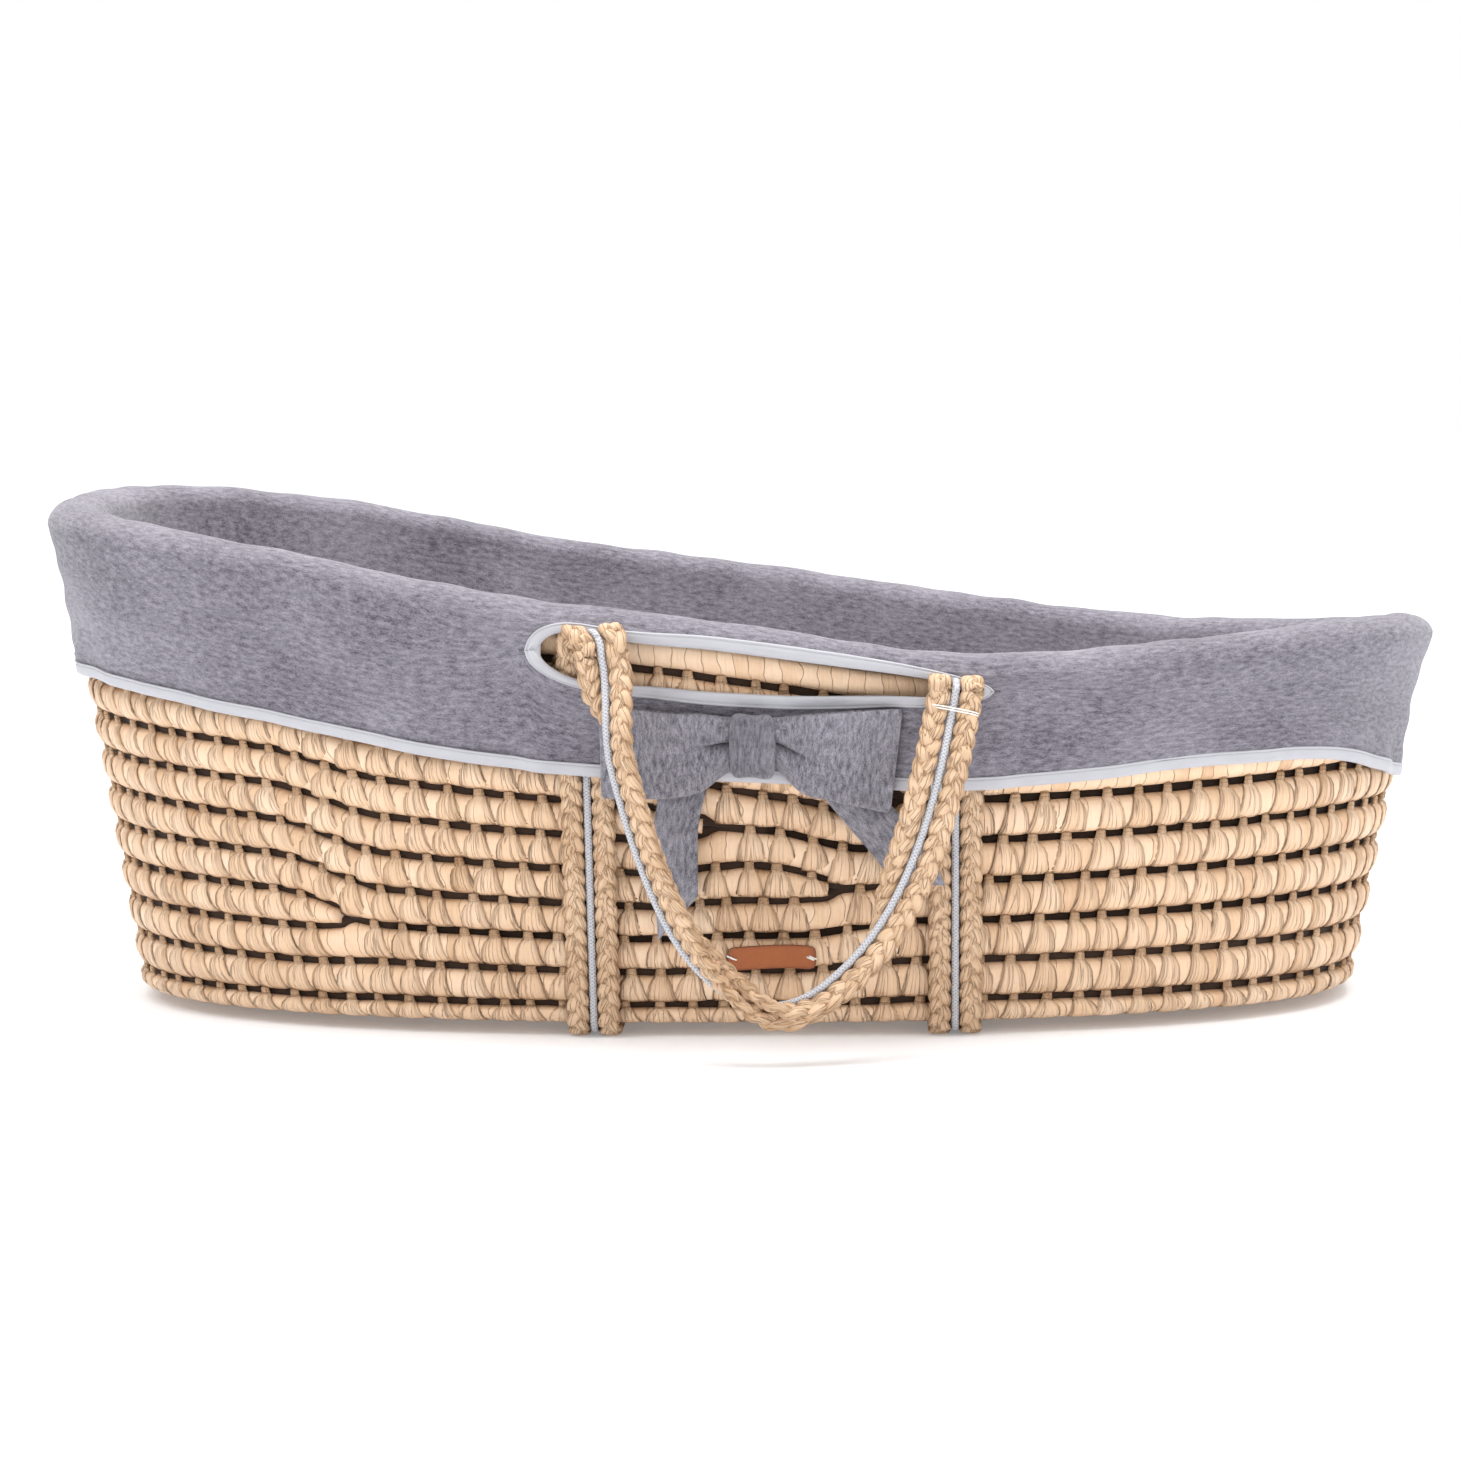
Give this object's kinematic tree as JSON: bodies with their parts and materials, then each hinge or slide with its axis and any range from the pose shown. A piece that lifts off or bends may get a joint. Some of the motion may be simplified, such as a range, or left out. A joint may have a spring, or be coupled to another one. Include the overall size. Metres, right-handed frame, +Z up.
{
  "type": "moses basket",
  "caption": "Oval coiled leaf baby basket, high at the head, with a grey jersey cover folded over the rim, plaited carrying handles, bows and a mattress.",
  "frame": {"origin": "on the surface the basket stands on, below the middle of its length and width", "axes": "+X towards the foot end, -X towards the high head end, +Y to the rear side, -Y to the front side with the label, +Z up"},
  "size_m": [0.842, 0.5578, 0.3079],
  "materials": {
    "leaf_coil": "dried palm leaf strips wrapped round a leaf core, matt with a slight silk",
    "leaf_plait": "three-strand plait of dried leaf, slightly rough",
    "braided_cord": "fine braided cord, light grey",
    "white_thread": "twisted sewing thread",
    "jersey": "grey heather jersey knit, matt",
    "wadding": "soft fibre filling",
    "binding_tape": "folded bias tape, light blue-grey",
    "label_leather": "tan leather, blank",
    "mattress_cloth": "quilted off-white cotton"
  },
  "bodies": {
    "basket": {"base_coil": "leaf_coil", "coil_row_01": "leaf_coil", "coil_row_02": "leaf_coil", "coil_row_03": "leaf_coil", "coil_row_04": "leaf_coil", "coil_row_05": "leaf_coil", "coil_row_06": "leaf_coil", "coil_row_07": "leaf_coil", "coil_row_08": "leaf_coil", "rim_coil": "leaf_coil", "short_row_low": "leaf_coil", "short_row_middle": "leaf_coil", "short_row_high": "leaf_coil", "short_row_top": "leaf_coil", "head_strap_outer_plait": "leaf_plait", "head_strap_inner_plait": "leaf_plait", "head_strap_cord": "braided_cord", "foot_strap_outer_plait": "leaf_plait", "foot_strap_inner_plait": "leaf_plait", "foot_strap_cord": "braided_cord", "front_strap_turns": "leaf_plait", "rear_strap_turns": "leaf_plait", "cover_liner": "jersey", "cover_wadding": "wadding", "cover_base": "jersey", "cover_skirt": "jersey", "hem_binding": "binding_tape", "front_slot_binding": "binding_tape", "rear_slot_binding": "binding_tape", "front_bow_head_loop": "jersey", "front_bow_foot_loop": "jersey", "front_bow_knot": "jersey", "front_bow_head_tail": "jersey", "front_bow_foot_tail": "jersey", "rear_bow_head_loop": "jersey", "rear_bow_foot_loop": "jersey", "rear_bow_knot": "jersey", "rear_bow_head_tail": "jersey", "rear_bow_foot_tail": "jersey", "label_patch": "label_leather", "label_thread": "white_thread"},
    "front_handle": {"front_handle_upper_plait": "leaf_plait", "front_handle_lower_plait": "leaf_plait", "front_handle_cord": "braided_cord", "front_handle_thread": "white_thread"},
    "rear_handle": {"rear_handle_upper_plait": "leaf_plait", "rear_handle_lower_plait": "leaf_plait", "rear_handle_cord": "braided_cord", "rear_handle_thread": "white_thread"},
    "mattress": {"mattress_core": "wadding", "mattress_cover": "mattress_cloth"}
  },
  "joints": [
    {"name": "front_handle_swing", "type": "hinge", "parent": "basket", "child": "front_handle", "pos_m": [0.0235, -0.25, 0.2165], "axis": [-0.9958, 0, 0.0914], "range_deg": [0, 156]},
    {"name": "rear_handle_swing", "type": "hinge", "parent": "basket", "child": "rear_handle", "pos_m": [0.0235, 0.25, 0.2165], "axis": [0.9958, 0, -0.0914], "range_deg": [0, 156]},
    {"name": "mattress_lift", "type": "slide", "parent": "basket", "child": "mattress", "axis": [0, 0, 1], "range_m": [0, 0.32]}
  ]
}
